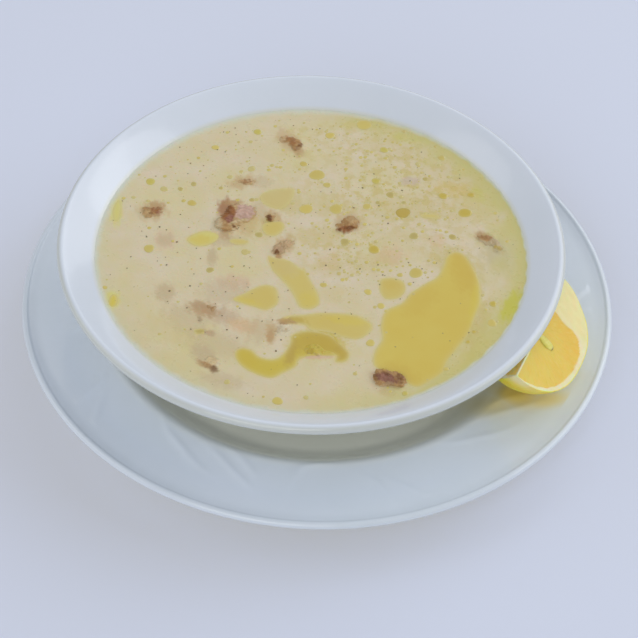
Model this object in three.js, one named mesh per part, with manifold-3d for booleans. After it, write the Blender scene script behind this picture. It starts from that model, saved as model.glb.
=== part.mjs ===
// Bowl of tripe soup: a porcelain soup bowl stands in the well of an underplate,
// pale soup fills it to the flared rim, browned pieces of tripe break the surface,
// and a quarter of a lemon lies rind down on the plate's rim.
// Millimetres, +Z up. The origin is on the table under the middle of the plate,
// and -Y is the side that the diner, and the eye, looks from.

import * as THREE from 'three';
import { mergeVertices } from 'three/addons/utils/BufferGeometryUtils.js';
import Module from 'manifold-3d';

// ---- driving dimensions ----

const TURNS = 60; // facets round the plate, the bowl and the soup
const CLEARANCE = 0.3; // gap kept between touching pieces

const PLATE_RADIUS = 127;
const PLATE_FOOT_RADIUS = 70;
const PLATE_FOOT_WIDTH = 4.5;
const PLATE_FOOT_HEIGHT = 3.2;
const PLATE_FLOOR_Z = 7; // upper face of the well
const PLATE_FLOOR_RADIUS = 75;
const PLATE_SHOULDER_RADIUS = 93; // where the well ends and the rim begins
const PLATE_RIM_Z = 19.4; // rim's upper face at the shoulder
const PLATE_RIM_RISE = 0.9; // from the shoulder out to the lip
const PLATE_WALL = 4;
const PLATE_LIP_ROUND = 1.6;
const PLATE_LIP_Z = 19.9; // middle of the rounded lip

const BOWL_CENTRE = new THREE.Vector2(-3.3, -1.5); // it stands a little off the plate's middle
const BOWL_RADIUS = 106.5;
const BOWL_FOOT_RADIUS = 50;
const BOWL_FOOT_WIDTH = 5;
const BOWL_FOOT_HEIGHT = 4.2;
const BOWL_BASE_Z = PLATE_FLOOR_Z + CLEARANCE;
const BOWL_FLOOR_Z = 15.6; // upper face inside
const BOWL_FLOOR_RADIUS = 36;
const BOWL_LIP_ROUND = 2.1;
const BOWL_LIP_Z = 54.5; // middle of the rounded lip
const BOWL_BAND_SLOPE = THREE.MathUtils.degToRad(33.5); // the flared band above the soup

const SOUP_Z = 48;
const SOUP_EDGE_RADIUS = 90.75; // the bowl's inner radius at the soup's level

const LEMON_LENGTH = 59.8;
const LEMON_RADIUS = 25.2;
const LEMON_FULLNESS = 2.28; // power of the barrel-shaped profile
const LEMON_WEDGE = Math.PI / 2;
const LEMON_CENTRE = new THREE.Vector2(92.3, -37.7); // middle of the cut edge, in plan
const LEMON_TURN = THREE.MathUtils.degToRad(67.7); // heading of the cut edge, from +X
const LEMON_DIP = THREE.MathUtils.degToRad(41.2); // slope of the outer cut face
const LEMON_STATIONS = 22;
const LEMON_ARC_STEPS = 12;
const SEED_LENGTH = 9;
const SEED_WIDTH = 4.4;
const SEED_ALONG = -4.5; // from the wedge's middle, towards the near end
const SEED_OUT = 5.2; // from the cut edge, down the outer cut face

// Each tripe piece: middle in plan, length, width, depth, heading in degrees,
// height above the soup, and the seed of its lumps.
const TRIPE = [
  { x: -14.1, y: 66.5, long: 13.6, wide: 8.5, deep: 7, turn: -40, proud: 1.6, seed: 1 },
  { x: -33.1, y: 39.7, long: 12, wide: 6.8, deep: 6, turn: 32, proud: 0.8, seed: 2 },
  { x: -71.9, y: 18.5, long: 12.8, wide: 9.4, deep: 7, turn: 12, proud: 1.3, seed: 3 },
  { x: -36.4, y: 17.6, long: 20, wide: 14, deep: 9, turn: 64, proud: 2.4, seed: 4 },
  { x: -21.3, y: 18.2, long: 8, wide: 6.6, deep: 5, turn: 20, proud: 1, seed: 5 },
  { x: -15.4, y: 0.1, long: 12.5, wide: 7, deep: 6, turn: 42, proud: 1.2, seed: 6 },
  { x: 11.8, y: 15.1, long: 11.5, wide: 8.8, deep: 7, turn: 40, proud: 1.9, seed: 7 },
  { x: 72.4, y: 7.4, long: 16.5, wide: 7, deep: 6, turn: -46, proud: 1.1, seed: 8 },
  { x: 29.3, y: -72.6, long: 13.4, wide: 9, deep: 8, turn: -8, proud: 3, seed: 9 },
  { x: -42.2, y: -67.6, long: 15, wide: 11, deep: 7, turn: -40, proud: 1, seed: 10 },
  { x: -38.6, y: -42.2, long: 27, wide: 13.5, deep: 9, turn: -22, proud: 0.6, seed: 11 },
  { x: -14.6, y: -48.2, long: 18, wide: 9.5, deep: 7, turn: 55, proud: 0.9, seed: 12 },
  { x: 0.7, y: -58.6, long: 15.5, wide: 8, deep: 6, turn: 4, proud: 1, seed: 13 },
];
const LARGE_PIECE = 19; // pieces longer than this get finer facets
const TRIPE_BOXINESS = 2.6; // 2 is an ellipsoid, more is squarer

// ---- helpers ----

// A profile of (radius, height) points, turned round the upright axis.
function turned(points) {
  const geometry = new THREE.LatheGeometry(points, TURNS);
  return geometry.rotateX(Math.PI / 2);
}

// Points along a cubic curve from one (radius, height) pair to another.
function sweep(start, leaving, arriving, end, steps) {
  const corners = [start, leaving, arriving, end].map(([r, z]) => new THREE.Vector2(r, z));
  return new THREE.CubicBezierCurve(...corners).getPoints(steps);
}

// Points along a round of a profile, anticlockwise from one angle to another.
function arc(r, z, radius, from, to, steps) {
  return new THREE.EllipseCurve(r, z, radius, radius, from, to, false, 0).getPoints(steps);
}

// Only the positions, with shared vertices merged.
function bare(geometry) {
  geometry.deleteAttribute('normal');
  geometry.deleteAttribute('uv');
  return mergeVertices(geometry, 1e-4);
}

// Drops triangles that merging has closed to a line, as at a lathe's axis.
function withoutFlatTriangles(index) {
  const kept = [];
  for (let i = 0; i < index.length; i += 3) {
    const [a, b, c] = [index[i], index[i + 1], index[i + 2]];
    if (a !== b && b !== c && c !== a) {
      kept.push(a, b, c);
    }
  }
  return new Uint32Array(kept);
}

const wasm = await Module();
wasm.setup();

function toSolid(geometry) {
  const merged = bare(geometry);
  const vertProperties = new Float32Array(merged.attributes.position.array);
  const triVerts = withoutFlatTriangles(merged.index.array);
  return new wasm.Manifold(new wasm.Mesh({ numProp: 3, vertProperties, triVerts }));
}

function toGeometry(solid) {
  const mesh = solid.getMesh();
  const geometry = new THREE.BufferGeometry();
  geometry.setAttribute('position', new THREE.BufferAttribute(mesh.vertProperties, 3));
  geometry.setIndex(new THREE.BufferAttribute(mesh.triVerts, 1));
  geometry.computeVertexNormals();
  return geometry;
}

function named(name, geometry, color, roughness) {
  const material = new THREE.MeshStandardMaterial({ color, roughness, metalness: 0 });
  const mesh = new THREE.Mesh(geometry, material);
  mesh.name = name;
  return mesh;
}

// ---- plate ----

// Underside out to the lip, over it, and back along the rim and the well.
function plateProfile() {
  const footInside = PLATE_FOOT_RADIUS - PLATE_FOOT_WIDTH;
  const lipRadius = PLATE_RADIUS - PLATE_LIP_ROUND;
  const rimUnderZ = PLATE_RIM_Z - PLATE_WALL;
  return [
    new THREE.Vector2(0, PLATE_FOOT_HEIGHT),
    new THREE.Vector2(footInside - 1.5, PLATE_FOOT_HEIGHT),
    new THREE.Vector2(footInside, 0),
    new THREE.Vector2(PLATE_FOOT_RADIUS, 0),
    ...sweep(
      [PLATE_FOOT_RADIUS + 1.5, PLATE_FOOT_HEIGHT],
      [PLATE_FLOOR_RADIUS + 7, PLATE_FOOT_HEIGHT + 1],
      [PLATE_SHOULDER_RADIUS - 5, rimUnderZ - 0.6],
      [PLATE_SHOULDER_RADIUS + 4, rimUnderZ + 0.6],
      4,
    ),
    ...arc(lipRadius, PLATE_LIP_Z, PLATE_LIP_ROUND, -Math.PI / 2, Math.PI * 0.75, 5),
    new THREE.Vector2(lipRadius - 3, PLATE_RIM_Z + PLATE_RIM_RISE),
    ...sweep(
      [PLATE_SHOULDER_RADIUS + 2, PLATE_RIM_Z],
      [PLATE_SHOULDER_RADIUS - 4, PLATE_RIM_Z - 0.6],
      [PLATE_FLOOR_RADIUS + 8, PLATE_FLOOR_Z],
      [PLATE_FLOOR_RADIUS, PLATE_FLOOR_Z],
      5,
    ),
    new THREE.Vector2(0, PLATE_FLOOR_Z),
  ];
}

// ---- bowl ----

// The bowl's inside from the soup's edge down to the axis, moved into the bowl by inset.
function bowlInside(inset) {
  const wall = new THREE.CubicBezierCurve(
    new THREE.Vector2(SOUP_EDGE_RADIUS, SOUP_Z),
    new THREE.Vector2(84, 30),
    new THREE.Vector2(62, 17),
    new THREE.Vector2(BOWL_FLOOR_RADIUS, BOWL_FLOOR_Z),
  );
  const steps = 8;
  const points = [];
  for (let i = 0; i <= steps; i += 1) {
    const point = wall.getPoint(i / steps);
    const along = wall.getTangent(i / steps);
    points.push(new THREE.Vector2(point.x + along.y * inset, point.y - along.x * inset));
  }
  points.push(new THREE.Vector2(0, BOWL_FLOOR_Z + inset));
  return points;
}

// Foot ring, outer wall, flared band, rounded lip, and the inside back to the axis.
function bowlProfile() {
  const footInside = BOWL_FOOT_RADIUS - BOWL_FOOT_WIDTH;
  const footTop = BOWL_BASE_Z + BOWL_FOOT_HEIGHT;
  const under = BOWL_BAND_SLOPE - Math.PI / 2;
  const over = BOWL_BAND_SLOPE + Math.PI / 2;
  return [
    new THREE.Vector2(0, footTop),
    new THREE.Vector2(footInside - 1, footTop),
    new THREE.Vector2(footInside, BOWL_BASE_Z),
    new THREE.Vector2(BOWL_FOOT_RADIUS, BOWL_BASE_Z),
    ...sweep([BOWL_FOOT_RADIUS + 1, footTop], [68, footTop + 1.5], [88, 26], [94.4, 45], 6),
    ...arc(BOWL_RADIUS - BOWL_LIP_ROUND, BOWL_LIP_Z, BOWL_LIP_ROUND, under, over, 5),
    ...bowlInside(0),
  ];
}

// ---- soup, cut round the tripe ----

// Closed profile: bowl-shaped underneath, flat on top.
function soupProfile() {
  const under = bowlInside(CLEARANCE).reverse();
  under[under.length - 1].y = SOUP_Z;
  return [...under, new THREE.Vector2(0, SOUP_Z)];
}

// A boxy ellipsoid whose radius swells and shrinks in slow waves set by the seed.
function tripeLump(piece, grow) {
  const geometry = new THREE.IcosahedronGeometry(1, piece.long > LARGE_PIECE ? 3 : 2);
  const position = geometry.attributes.position;
  const point = new THREE.Vector3();
  const power = TRIPE_BOXINESS;
  for (let i = 0; i < position.count; i += 1) {
    point.fromBufferAttribute(position, i);
    const sum = Math.abs(point.x) ** power + Math.abs(point.y) ** power + Math.abs(point.z) ** power;
    const waves = 0.13 * Math.sin(3.1 * point.x + 1.7 * piece.seed) * Math.cos(2.6 * point.y - piece.seed)
      + 0.07 * Math.sin(5.2 * point.x + 4.1 * point.z + 2.3 * piece.seed);
    point.multiplyScalar((1 + waves) / sum ** (1 / power));
    const x = point.x * (piece.long / 2 + grow);
    const y = point.y * (piece.wide / 2 + grow);
    const z = point.z * (piece.deep / 2 + grow);
    position.setXYZ(i, x, y, z);
  }
  return geometry.rotateZ(THREE.MathUtils.degToRad(piece.turn));
}

// The lump with its top standing proud of the soup by the piece's own height.
function placedTripe(piece, grow) {
  const exact = tripeLump(piece, 0);
  exact.computeBoundingBox();
  const lift = SOUP_Z + piece.proud - exact.boundingBox.max.z;
  const lump = grow > 0 ? tripeLump(piece, grow) : exact;
  return lump.translate(piece.x, piece.y, lift);
}

function cutSoup() {
  const whole = turned(soupProfile()).translate(BOWL_CENTRE.x, BOWL_CENTRE.y, 0);
  let solid = toSolid(whole);
  for (const piece of TRIPE) {
    solid = solid.subtract(toSolid(placedTripe(piece, CLEARANCE + 0.05)));
  }
  return toGeometry(solid);
}

// ---- lemon ----

// Rind's distance from the lemon's axis, at -1 (near end) to 1 (far tip).
function lemonRadius(along) {
  return LEMON_RADIUS * Math.sqrt(1 - Math.abs(along) ** LEMON_FULLNESS);
}

// The lemon's own directions: along its axis, away from the bowl, down the outer
// cut face, and the middle of the cut edge.
const heading = new THREE.Vector3(Math.cos(LEMON_TURN), Math.sin(LEMON_TURN), 0);
const outward = new THREE.Vector3(Math.sin(LEMON_TURN), -Math.cos(LEMON_TURN), 0);
const downFace = outward.clone().multiplyScalar(Math.cos(LEMON_DIP));
downFace.z = -Math.sin(LEMON_DIP);
const lemonAxisZ = PLATE_RIM_Z + PLATE_RIM_RISE / 2 + CLEARANCE + LEMON_RADIUS;
const lemonMiddle = new THREE.Vector3(LEMON_CENTRE.x, LEMON_CENTRE.y, lemonAxisZ);

// Section by section along the axis: the cut edge, then the rind's arc from the
// outer cut face to the inner one. The two ends close to a point.
function lemonQuarter() {
  const ring = LEMON_ARC_STEPS + 2;
  const vertices = [];
  for (let station = 1; station < LEMON_STATIONS; station += 1) {
    const along = -Math.cos((Math.PI * station) / LEMON_STATIONS);
    const core = lemonMiddle.clone().addScaledVector(heading, (along * LEMON_LENGTH) / 2);
    vertices.push(core);
    for (let step = 0; step <= LEMON_ARC_STEPS; step += 1) {
      const angle = LEMON_DIP + (LEMON_WEDGE * step) / LEMON_ARC_STEPS;
      const rind = core.clone();
      rind.addScaledVector(outward, lemonRadius(along) * Math.cos(angle));
      rind.z -= lemonRadius(along) * Math.sin(angle);
      vertices.push(rind);
    }
  }
  const near = vertices.push(lemonMiddle.clone().addScaledVector(heading, -LEMON_LENGTH / 2)) - 1;
  const far = vertices.push(lemonMiddle.clone().addScaledVector(heading, LEMON_LENGTH / 2)) - 1;
  const triangles = [];
  const lastRing = (LEMON_STATIONS - 2) * ring;
  for (let j = 0; j < ring; j += 1) {
    const next = (j + 1) % ring;
    triangles.push(near, next, j);
    triangles.push(far, lastRing + j, lastRing + next);
    for (let base = 0; base < lastRing; base += ring) {
      triangles.push(base + j, base + next, base + ring + next);
      triangles.push(base + j, base + ring + next, base + ring + j);
    }
  }
  const geometry = new THREE.BufferGeometry().setFromPoints(vertices);
  geometry.setIndex(triangles);
  return geometry;
}

// A long pip lying half sunk in the outer cut face, across the lemon's axis.
function lemonSeed() {
  const geometry = new THREE.SphereGeometry(0.5, 14, 8).scale(SEED_WIDTH, SEED_WIDTH, SEED_LENGTH);
  const normal = new THREE.Vector3().crossVectors(heading, downFace);
  geometry.applyMatrix4(new THREE.Matrix4().makeBasis(heading, normal.negate(), downFace));
  const place = lemonMiddle.clone().addScaledVector(heading, SEED_ALONG);
  place.addScaledVector(downFace, SEED_OUT);
  return geometry.translate(place.x, place.y, place.z);
}

function lemonWedge() {
  return toGeometry(toSolid(lemonQuarter()).add(toSolid(lemonSeed())));
}

// ---- the whole ----

const soupBowl = new THREE.Group();
soupBowl.add(named('plate', turned(plateProfile()), 0xdfe5ec, 0.12));
const bowlGeometry = turned(bowlProfile()).translate(BOWL_CENTRE.x, BOWL_CENTRE.y, 0);
soupBowl.add(named('bowl', bowlGeometry, 0xe6ebf2, 0.12));
soupBowl.add(named('soup', cutSoup(), 0xd9d0aa, 0.3));
TRIPE.forEach((piece, i) => {
  const name = `tripe_${String(i + 1).padStart(2, '0')}`;
  soupBowl.add(named(name, placedTripe(piece, 0), 0x8f6a52, 0.5));
});
soupBowl.add(named('lemon_wedge', lemonWedge(), 0xe3c24e, 0.4));

export default soupBowl;
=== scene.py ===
import math

import bpy
import numpy as np
from mathutils import Matrix, Vector
from mathutils.geometry import delaunay_2d_cdt


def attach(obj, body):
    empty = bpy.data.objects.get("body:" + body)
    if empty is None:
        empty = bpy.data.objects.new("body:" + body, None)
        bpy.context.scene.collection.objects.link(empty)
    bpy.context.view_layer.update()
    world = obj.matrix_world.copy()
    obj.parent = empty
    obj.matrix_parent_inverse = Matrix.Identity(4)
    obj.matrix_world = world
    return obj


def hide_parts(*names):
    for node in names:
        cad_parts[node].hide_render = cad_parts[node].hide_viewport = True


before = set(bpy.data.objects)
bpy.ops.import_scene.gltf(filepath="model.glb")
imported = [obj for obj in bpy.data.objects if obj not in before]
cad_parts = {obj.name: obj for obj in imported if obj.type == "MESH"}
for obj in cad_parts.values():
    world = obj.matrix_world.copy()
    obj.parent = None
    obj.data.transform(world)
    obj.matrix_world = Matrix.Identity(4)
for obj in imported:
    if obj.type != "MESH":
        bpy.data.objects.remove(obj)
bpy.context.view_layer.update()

# A bowl of tripe soup on its plate. Lengths are in millimetres until a mesh is
# made, angles in degrees. Places on the soup are given as the photo's pixels and
# brought to the soup's level along the camera's sight lines.
MM = 0.001
FULL_TURN = 2 * math.pi

# ---- the camera ----
PHOTO_MIDDLE = 319
PHOTO_FOCAL = 2000
SENSOR = 36.0
LENS = 112.85
CAMERA_LIFT = 46.38
CAMERA_ROLL = 2.20
CAMERA_PLACE = np.array([0.98, -604.65, 639.38])

lift = math.radians(CAMERA_LIFT)
roll = math.radians(CAMERA_ROLL)
sight = np.array([0.0, math.cos(lift), -math.sin(lift)])
level = np.array([1.0, 0.0, 0.0])
upright = np.array([0.0, math.sin(lift), math.cos(lift)])
photo_right = math.cos(roll) * level + math.sin(roll) * upright
photo_down = math.sin(roll) * level - math.cos(roll) * upright

# ---- the plate, the bowl and the soup, as radius and height ----
PLATE_AROUND = 720
BOWL_AROUND = 400
SOUP_AROUND = 420
PLATE_RELIEF = 0.42  # how far a flute stands up
PLATE_FLUTE_STEPS = 22
PLATE_FLUTE_WIDTH = 1.7
PLATE_FLUTE_PERIOD = 72
PLATE_FLUTE_START = -133
PLATE_RELIEF_SPAN = (88, 123)
PLATE_TOP_ABOVE = 18.3
# Painted light round the plate's well, lighter and warmer to soften the bowl's shadow there: outer radius,
# width of the change, strength.
PLATE_WARMTH = [(97, 9, 0.7), (112, 22, 0.3)]
# Each flute's path on the rim: radius and angle at a few places.
PLATE_FLUTES = [
    [(93.6, -131), (98.9, -126), (102.2, -121), (106.5, -116), (109.5, -111)],
    [(94.7, -117), (99.9, -111), (106.9, -105), (110.7, -102)],
    [(93.4, -110.6), (97.6, -106), (103.7, -102)],
    [(94.3, -83), (94.0, -88), (96.5, -92.6), (102.5, -94), (110.2, -94)],
    [(100.4, -78), (106.5, -75.4), (117.8, -73.4)],
    [(103.7, -73.4), (119.8, -66)],
]
# Painted yellow light on the plate, the lemon's bounced light in its shadow: pixel, half long, half wide,
# tilt, strength.
PLATE_GLOWS = [(514, 393, 28, 13, 14, 1.0), (546, 400, 24, 8, -8, 0.7), (490, 404, 26, 12, -8, 0.6)]
BOWL_CENTRE = np.array([-3.3, -1.5])
SOUP_BOTTOM = 15.7
SOUP_Z = 48.0
SOUP_EDGE_RADIUS = 90.75
SOUP_GAP = 0.05
SOUP_RISE = 0.35  # how far the soup climbs at the wall
# Where the painted shade on the lip's outer side begins.
BOWL_LIP_FROM = 104.6
BOWL_FILM_FROM = 90.9
BOWL_FILM_WIDTH = 1.8
# How far in from its edge the soup is filmed over, paler and tinted by the lemon.
FILM_WIDTH = 2.6
FILM_NARROWER_RIGHT = 1.9
FILM_WIDER_BACK = 1.1
RIM_WIDTH = 7
CITRUS_WIDTH = 12

# ---- the tripe: x, y, long, wide, deep, turn, proud, seed, as in the part ----
TRIPE = {
    "tripe_01": (-14.1, 66.5, 13.6, 8.5, 7, -40, 1.6, 1),
    "tripe_02": (-33.1, 39.7, 12, 6.8, 6, 32, 0.8, 2),
    "tripe_03": (-71.9, 18.5, 12.8, 9.4, 7, 12, 1.3, 3),
    "tripe_04": (-36.4, 17.6, 20, 14, 9, 64, 2.4, 4),
    "tripe_05": (-21.3, 18.2, 8, 6.6, 5, 20, 1, 5),
    "tripe_06": (-15.4, 0.1, 12.5, 7, 6, 42, 1.2, 6),
    "tripe_07": (11.8, 15.1, 11.5, 8.8, 7, 40, 1.9, 7),
    "tripe_08": (72.4, 7.4, 16.5, 7, 6, -46, 1.1, 8),
    "tripe_09": (29.3, -72.6, 13.4, 9, 8, -8, 3, 9),
    "tripe_10": (-42.2, -67.6, 15, 11, 7, -40, 1, 10),
    "tripe_11": (-38.6, -42.2, 27, 13.5, 9, -22, 0.6, 11),
    "tripe_12": (-14.6, -48.2, 18, 9.5, 7, 55, 0.9, 12),
    "tripe_13": (0.7, -58.6, 15.5, 8, 6, 4, 1, 13),
}
TRIPE_SQUARENESS = 2.6
TRIPE_STATIONS = 72
TRIPE_AROUND = 96
TRIPE_WET_ABOVE = 0.1  # higher than this over the soup, a piece dries towards its own tint
TRIPE_WET_DEPTH = 0.6
TRIPE_WET = 0.85

PHOTO_LIGHT = np.array([0.78, 0.81, 0.87])
PHOTO_GLOSS = 0.015
OIL_BRIGHTNESS = 1.07  # the thin oil lets a little through to the darker soup under it
# Tints as the photo shows them, as red, green and blue.
TINTS = {
    "dark": (110, 74, 44),
    "russet": (150, 104, 68),
    "plum": (140, 98, 92),
    "brown": (168, 134, 92),
    "tan": (184, 158, 116),
    "beige": (200, 182, 144),
    "pink": (200, 172, 150),
    "pale": (198, 178, 166),
    "rosy": (200, 172, 136),
    "lavender": (186, 168, 158),
    "ochre": (180, 158, 76),
    "leek": (187, 184, 78),
    "lemony": (203, 197, 120),
    "milk": (203, 193, 168),
    "gold": (201, 183, 93),
    "straw": (198, 182, 108),
    "bright": (204, 189, 80),
    "faint": (196, 182, 126),
    "amber": (196, 172, 82),
    "fringe": (199, 190, 136),
    "olive": (170, 155, 88),
    "haze": (195, 182, 132),
    "moss": (184, 176, 140),
    "deep": (180, 160, 80),
    "sun": (187, 169, 78),
    "light": (191, 176, 100),
    "dull": (176, 163, 102),
    "thin": (190, 180, 124),
    "rim": (199, 195, 160),
    "film": (200, 202, 192),
    "citrus": (190, 183, 114),
    "curd": (189, 175, 114),
    "dusk": (184, 168, 136),
    "mauve": (172, 147, 116),
    "blush": (192, 163, 150),
    "mustard": (193, 176, 76),
    "clear": (198, 183, 104),
    "lime": (188, 178, 92),
    "cloud": (190, 176, 148),
}
# Each piece's main tint, and its patches: pixel, half long, half wide, tilt, tint, strength.
TRIPE_PATCHES = {
    "tripe_01": ("brown", [
        (290, 138, 9, 4, 45, "russet", 0.6), (301, 146, 3, 5, 60, "dark", 0.7),
        (303, 152, 3, 2.5, 0, "dark", 0.7), (284, 135, 4, 3, 0, "tan", 0.8),
    ]),
    "tripe_02": ("tan", [(252, 179, 3, 2, 0, "dark", 0.6), (245, 182, 7, 3, -10, "russet", 0.6)]),
    "tripe_03": ("brown", [
        (157, 209, 6, 4, 0, "russet", 0.8), (146, 214, 5, 5, 0, "tan", 0.8),
        (151, 213, 2, 1.5, 0, "dark", 0.6), (160, 213, 4, 3, 0, "plum", 0.4),
    ]),
    "tripe_04": ("tan", [
        (244, 212, 11, 9, -20, "blush", 1.0), (227.8, 212, 7.6, 11, 0, "russet", 1.0),
        (226, 208, 4.5, 6, 0, "dark", 0.6), (230, 219, 4, 5, 20, "plum", 0.7),
        (239, 221, 9, 1.4, -14, "beige", 1.0), (244, 227, 9, 5, 0, "tan", 0.8),
        (226, 229, 6, 7, 0, "brown", 0.8), (234, 226.4, 1.8, 1.6, 0, "dark", 0.8),
        (215, 225, 6.5, 9, 0, "cloud", 0.8), (237.7, 229, 1.6, 1.4, 0, "dark", 0.6),
    ]),
    "tripe_05": ("russet", [(269, 219, 3.5, 4, 0, "dark", 1.0), (275, 216, 3, 5, 30, "brown", 0.8)]),
    "tripe_06": ("mauve", [(277, 254, 3, 3.6, 0, "dark", 0.9), (290, 242, 5, 4, -40, "rosy", 0.5)]),
    "tripe_07": ("brown", [
        (347, 229, 9, 3.4, 0, "russet", 1.0), (352, 218, 7, 5, 20, "tan", 0.7),
        (350, 228, 5, 2, 0, "dark", 0.6), (340, 230, 2, 2, 0, "dark", 0.8),
    ]),
    "tripe_08": ("dusk", [
        (484, 236.5, 8, 4, 15, "brown", 1.0), (484, 237, 4, 2.2, 10, "dark", 0.25),
        (499, 250, 6, 3.6, 20, "ochre", 1.0), (497, 251, 3, 1.3, 45, "dark", 0.6),
    ]),
    "tripe_09": ("brown", [
        (387, 378, 11, 5, 20, "plum", 0.8), (398, 379, 6, 4.5, 20, "dark", 0.4),
        (376, 377, 4, 4, 0, "dark", 0.5), (388, 384, 7, 2.4, 0, "mauve", 0.7),
        (386, 368, 8, 2, 10, "ochre", 0.9), (385, 373, 5, 1.6, 20, "dark", 0.5),
        (400, 376, 4, 3, 40, "dark", 0.7), (395, 387, 5, 2, 0, "tan", 0.7),
    ]),
    "tripe_10": ("beige", [(206, 365, 8, 2.6, 25, "brown", 0.8), (214.4, 369.8, 4.2, 4, 0, "dark", 1.0)]),
    "tripe_11": ("brown", [
        (194, 304, 8, 7, 0, "russet", 0.35), (226, 318, 14, 8, 10, "tan", 0.9),
        (199, 320, 3, 3, 0, "dark", 0.7), (240, 324, 10, 8, 10, "pink", 0.8),
    ]),
    "tripe_12": ("milk", [
        (285, 321.5, 10, 2.4, -6, "brown", 1.0), (273, 330, 3.4, 9, 12, "tan", 0.9),
        (278, 323, 2, 1.5, 0, "dark", 0.7), (286, 329, 1.2, 1.0, 0, "brown", 0.7),
    ]),
    "tripe_13": ("sun", [(317, 357, 15, 2, -1, "pink", 0.8)]),
}
# What lies wholly under the surface shows as soft stains: the same numbers.
STAINS = [
    (204, 310, 15, 7, 12, "brown", 0.8), (199, 305, 9, 5, 0, "mauve", 0.6),
    (200, 320, 2.6, 2.6, 0, "dark", 0.6), (222, 316, 18, 8, 15, "mauve", 0.5),
    (244, 326, 15, 7, 10, "rosy", 0.8), (209, 333, 6, 3, 10, "mauve", 0.9),
    (234, 282, 16, 7, 0, "pink", 0.6), (204, 355, 13, 9, 35, "dusk", 0.8),
    (205, 365, 9, 3, 25, "brown", 0.7), (214.5, 369.5, 4.2, 3.6, 0, "dark", 0.85),
    (165, 292, 10, 9, 0, "dusk", 0.8), (165, 240, 10, 9, 0, "pink", 0.5),
    (165, 240, 7, 6, 0, "dusk", 0.6), (212, 257, 5, 9, 0, "dusk", 0.8),
    (225, 292, 24, 13, 0, "dusk", 0.5), (186, 320, 22, 14, 20, "dusk", 0.5),
    (216, 344, 30, 13, 10, "dusk", 0.45), (222, 381, 22, 8, 10, "dusk", 0.5),
    (226, 240, 18, 6, 0, "dusk", 0.6), (260, 330, 14, 12, 0, "dusk", 0.5),
    (410, 181, 10, 4, 0, "lavender", 0.6), (391, 256, 15, 9, 0, "rosy", 0.5),
    (437, 241, 8, 7, 0, "rosy", 0.4), (243, 182, 14, 6, -12, "tan", 0.7),
    (288, 141, 14, 8, 40, "tan", 0.6), (298, 150, 8, 5, 50, "brown", 0.6),
    (240, 218, 22, 16, 0, "beige", 0.6), (225, 208, 7, 9, 0, "russet", 0.85),
    (233, 202.5, 9, 2.6, 0, "brown", 0.8), (226, 230, 6, 9, 0, "brown", 0.6),
    (260, 212, 9, 12, 0, "dusk", 0.5), (217, 224, 6, 9, 0, "cloud", 0.8),
    (262, 182, 10, 6, 0, "dusk", 0.5), (248, 224, 10, 10, 0, "tan", 0.85),
    (284, 246, 13, 8, -45, "tan", 0.75), (349, 222, 13, 10, 0, "tan", 0.6),
    (152, 211, 14, 9, 0, "tan", 0.7), (157, 206, 8, 5, 0, "brown", 0.6),
    (491, 243, 14, 6, 40, "dusk", 0.6), (484, 237, 9, 4.6, 15, "brown", 0.85),
    (499, 250, 6.5, 4, 20, "ochre", 0.8), (496.5, 251.4, 3.4, 2, 45, "dark", 0.6),
    (290, 321, 12, 3.2, -5, "brown", 0.8), (271, 333, 6, 11, 14, "tan", 0.75),
    (270, 336, 3.6, 6, 14, "brown", 0.45), (318, 344, 24, 12.5, 0, "sun", 1.0),
    (317, 357.4, 16, 1.5, -1, "pink", 0.8), (386, 379, 17, 11, 10, "tan", 0.5),
    (388, 393, 11, 4, 10, "tan", 0.7), (386, 378, 12, 8, 20, "mauve", 0.6),
    (272, 221, 10, 10, 0, "tan", 0.9), (269.5, 222, 4.6, 3.6, 0, "olive", 0.8),
    (278, 256.5, 3.6, 2.6, 0, "brown", 0.8), (330, 262, 10, 9, 0, "rosy", 0.25),
    (335, 170, 30, 10, 0, "milk", 0.4), (350, 380, 50, 14, -5, "milk", 0.3),
    (450, 175, 34, 18, 35, "curd", 0.2), (390, 150, 40, 9, 12, "curd", 0.2),
    (403, 207, 40, 13, 5, "curd", 0.35), (442, 208, 24, 13, 10, "curd", 0.3),
    (330, 207, 22, 9, 0, "curd", 0.4), (292, 205, 14, 9, 0, "curd", 0.5),
    (455, 264, 30, 12, 25, "curd", 0.55), (370, 262, 22, 9, 0, "curd", 0.25),
    (478, 330, 9, 26, 22, "curd", 0.7), (482, 205, 24, 16, 20, "haze", 0.6),
    (318, 236, 26, 9, 0, "curd", 0.45), (500, 254, 20, 16, 50, "moss", 0.7),
    (262, 228, 18, 11, 0, "haze", 0.6), (170, 330, 24, 12, 30, "haze", 0.4),
    (330, 295, 14, 9, 0, "haze", 0.4), (180, 270, 26, 14, 0, "milk", 0.25),
    (275, 165, 14, 8, 0, "milk", 0.35), (437, 400, 14, 6, -20, "haze", 0.5),
    (403, 236, 20, 9, 0, "curd", 0.25), (331, 266, 18, 9, 0, "curd", 0.3),
    (456, 190, 22, 7, 5, "amber", 0.35),
]
RIM_STAINS = [
    (511, 306, 17, 7.5, -62, "leek", 0.92), (112, 300, 8, 9, 0, "lemony", 0.8),
    (116, 210, 6, 14, 0, "lemony", 0.7), (364, 124, 26, 6, 0, "lime", 0.45),
    (404, 138, 16, 4, 15, "leek", 0.3), (478, 196, 7, 9, -40, "leek", 0.3),
    (470, 355, 20, 6, -40, "lime", 0.3),
]
# Where fine oil crowds the soup's surface: pixel, half long, half wide, tilt, strength.
SOUP_BUSY = [(400, 185, 105, 52, 12, 1.0), (345, 250, 50, 26, 0, 0.9), (480, 325, 22, 50, 15, 0.8),
             (450, 250, 50, 22, 20, 0.7), (320, 135, 50, 14, 0, 0.7)]
STAIN_SOFTNESS = 0.9
PATCH_SOFTNESS = 0.35

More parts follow.
